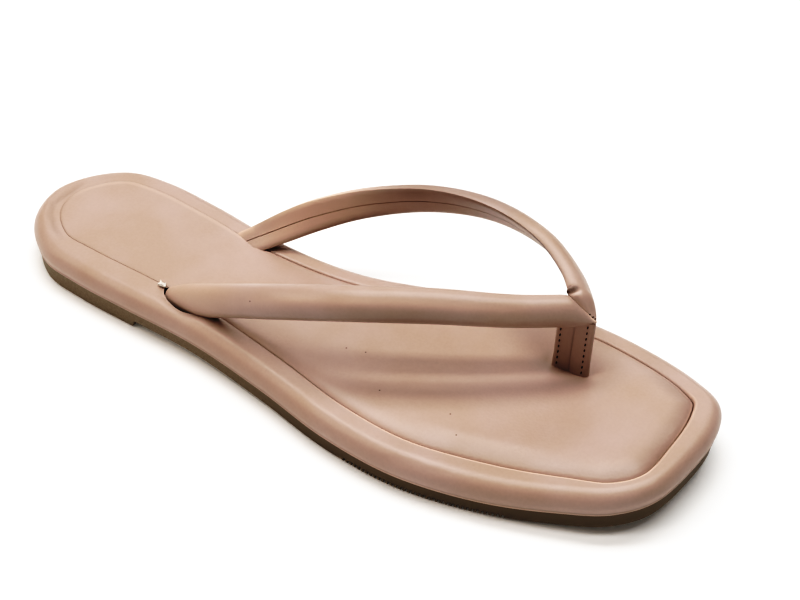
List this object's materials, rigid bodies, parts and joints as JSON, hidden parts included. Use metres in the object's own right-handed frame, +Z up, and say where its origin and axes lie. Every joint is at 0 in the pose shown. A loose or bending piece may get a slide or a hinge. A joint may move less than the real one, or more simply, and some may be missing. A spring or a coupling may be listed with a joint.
{
  "type": "square toe flip-flop",
  "caption": "Flat square-toe flip-flop for the right foot: wrapped footbed with rounded edge and padded sock, half-round straps meeting over a sewn toe post, low moulded sole.",
  "frame": {"origin": "on the floor, under the middle of the shoe's bounding box", "axes": "+Y from heel to toe, +X to the outer side of the right foot, +Z up from the floor"},
  "size_m": [0.089, 0.245, 0.0495],
  "materials": {
    "outsole_rubber": "moulded, matt",
    "wrapped_leather": "smooth faux leather, satin",
    "sock_leather": "smooth faux leather, satin",
    "strap_leather": "smooth faux leather, satin"
  },
  "bodies": {
    "root": {"outsole": "outsole_rubber", "midsole": "wrapped_leather", "insole": "sock_leather", "upper": "strap_leather", "toe_post": "strap_leather"}
  },
  "joints": []
}
